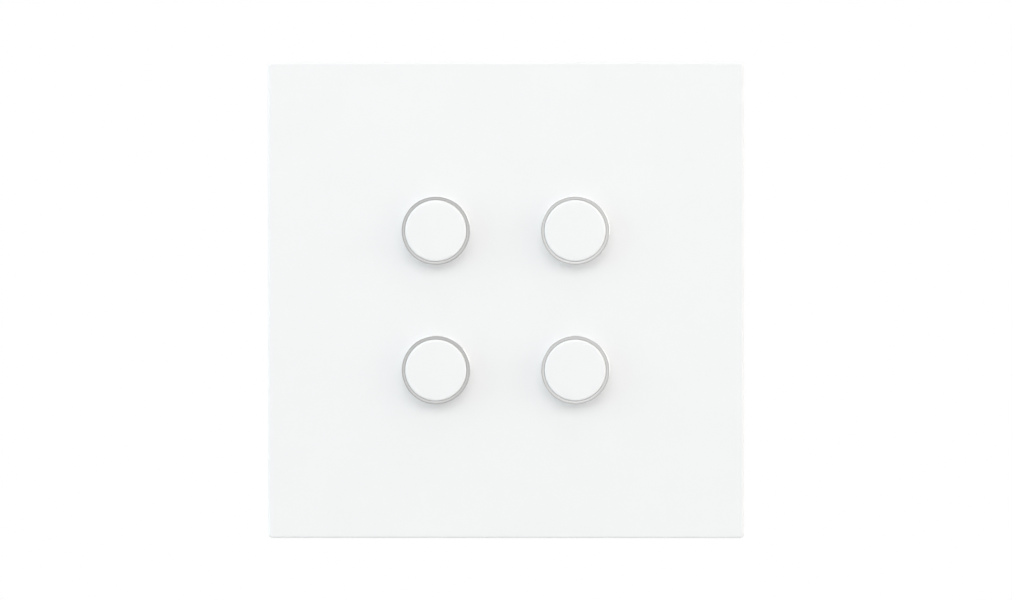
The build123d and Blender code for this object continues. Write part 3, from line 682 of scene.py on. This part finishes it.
def break_edges(piece, width):
    """Joins a solid's faces into one skin and rounds its sharp edges."""
    skin = piece.modifiers.new("one_skin", "WELD")
    skin.merge_threshold = ONE_POINT * MM
    flats = piece.modifiers.new("whole_flats", "DECIMATE")
    flats.decimate_type = "DISSOLVE"
    flats.angle_limit = math.radians(ONE_FLAT)
    edges = piece.modifiers.new("broken_edges", "BEVEL")
    edges.width = width * MM
    edges.segments = 3
    edges.limit_method = "ANGLE"
    edges.angle_limit = math.radians(BROKEN_EDGE)


def finish_solid(node, material):
    """Gives a solid its material, with crisp edges where faces meet at an angle."""
    piece = nodes[node]
    piece.data.materials.clear()
    piece.data.materials.append(material)
    piece.data.shade_smooth()
    piece.data.set_sharp_from_angle(angle=math.radians(CRISP_SOLID_EDGE))
    if node in BROKEN_EDGES:
        break_edges(piece, BROKEN_EDGES[node])
    weigh_normals(piece)


for node, material in FINISHES.items():
    finish_solid(node, material)


# Stage, lamps and camera


def make_lamp(name, place, width, height, colour, watts):
    """A soft box: an area light that the camera itself doesn't see."""
    light = bpy.data.lights.new(name, "AREA")
    light.shape = "RECTANGLE"
    light.size = width
    light.size_y = height
    light.color = colour
    light.energy = watts
    box = bpy.data.objects.new(name, light)
    box.location = place
    box.rotation_euler = (Vector(LAMP_AIM) - Vector(place)).to_track_quat("-Z", "Y").to_euler()
    box.visible_camera = False
    bpy.context.scene.collection.objects.link(box)


def seen_rays(tree):
    """1 for rays from the camera and for those off gloss or through glass, else 0."""
    path = tree.nodes.new("ShaderNodeLightPath")
    direct = maths(tree, "MAXIMUM", path.outputs["Is Camera Ray"], path.outputs["Is Glossy Ray"])
    return maths(tree, "MAXIMUM", direct, path.outputs["Is Transmission Ray"])


def mix_shaders(tree, amount, first, second, output):
    """Sends a mix of two shaders to the output's surface."""
    choice = tree.nodes.new("ShaderNodeMixShader")
    tree.links.new(amount, choice.inputs[0])
    tree.links.new(first.outputs[0], choice.inputs[1])
    tree.links.new(second.outputs[0], choice.inputs[2])
    tree.links.new(choice.outputs[0], output.inputs["Surface"])


def make_room():
    """White where it is seen, and elsewhere a soft light: brighter above, cool left, warm right."""
    world = bpy.data.worlds.new("white_room")
    world.use_nodes = True
    bpy.context.scene.world = world
    tree = world.node_tree
    tree.nodes.clear()
    place = tree.nodes.new("ShaderNodeTexCoord")
    parts = tree.nodes.new("ShaderNodeSeparateXYZ")
    tree.links.new(place.outputs["Generated"], parts.inputs[0])
    soft = tree.nodes.new("ShaderNodeBackground")
    sideways = remap(tree, parts.outputs["X"], 0.0, 1.0, from_low=-1.0)
    tint = blend_colours(tree, sideways, ROOM_LEFT, ROOM_RIGHT)
    tree.links.new(tint, soft.inputs["Color"])
    lowest, highest = ROOM_LEVEL - ROOM_RISE, ROOM_LEVEL + ROOM_RISE
    upward = remap(tree, parts.outputs["Z"], lowest, highest, from_low=-1.0)
    tree.links.new(upward, soft.inputs["Strength"])
    white = tree.nodes.new("ShaderNodeBackground")
    white.inputs["Color"].default_value = (*WHITE, 1.0)
    white.inputs["Strength"].default_value = 1.0
    mix_shaders(tree, seen_rays(tree), soft, white, tree.nodes.new("ShaderNodeOutputWorld"))


def make_floor():
    """Pale floor below the panel: it keeps a soft shadow, and turns to plain white outward."""
    turns = [2 * math.pi * side / FLOOR_SIDES for side in range(FLOOR_SIDES)]
    rim = [
        (FLOOR_RADIUS * math.cos(turn), FLOOR_RADIUS * math.sin(turn), FLOOR_LEVEL)
        for turn in turns
    ]
    mesh = bpy.data.meshes.new("floor")
    mesh.from_pydata(rim, [], [tuple(range(FLOOR_SIDES))])
    floor = bpy.data.objects.new("floor", mesh)
    bpy.context.scene.collection.objects.link(floor)
    material = bpy.data.materials.new("pale_floor")
    material.use_nodes = True
    tree = material.node_tree
    tree.nodes.clear()
    place = tree.nodes.new("ShaderNodeTexCoord")
    distance = tree.nodes.new("ShaderNodeVectorMath")
    distance.operation = "LENGTH"
    tree.links.new(place.outputs["Object"], distance.inputs[0])
    whiteness = remap(
        tree, distance.outputs["Value"], FLOOR_LEAST_WHITE, 1.0, FLOOR_FADE_FROM, FLOOR_FADE_TO
    )
    matt = tree.nodes.new("ShaderNodeBsdfDiffuse")
    matt.inputs["Color"].default_value = (*FLOOR_TONE, 1.0)
    white = tree.nodes.new("ShaderNodeEmission")
    amount = maths(tree, "MULTIPLY", whiteness, seen_rays(tree))
    mix_shaders(tree, amount, matt, white, tree.nodes.new("ShaderNodeOutputMaterial"))
    mesh.materials.append(material)


def make_camera():
    """Long lens, a little to the right of the panel and above it, with a slight roll."""
    lens = bpy.data.cameras.new("camera")
    lens.sensor_width = CAMERA_SENSOR
    lens.lens = CAMERA_SENSOR * CAMERA_DISTANCE / (PICTURE_WIDTH / PIXELS_PER_MM * MM)
    lens.clip_end = 100.0
    camera = bpy.data.objects.new("camera", lens)
    right, above = math.radians(CAMERA_RIGHT), math.radians(CAMERA_ABOVE)
    across = math.cos(above)
    back = Vector((math.sin(right) * across, -math.cos(right) * across, math.sin(above)))
    roll = Quaternion((0.0, 0.0, 1.0), math.radians(CAMERA_ROLL))
    camera.location = Vector(CAMERA_AIM) * MM + back * CAMERA_DISTANCE
    camera.rotation_euler = ((-back).to_track_quat("-Z", "Y") @ roll).to_euler()
    bpy.context.scene.collection.objects.link(camera)
    bpy.context.scene.camera = camera


make_room()
make_floor()
for name, settings in LAMPS.items():
    make_lamp(name, *settings)
make_camera()
bpy.context.scene.view_settings.view_transform = "Standard"
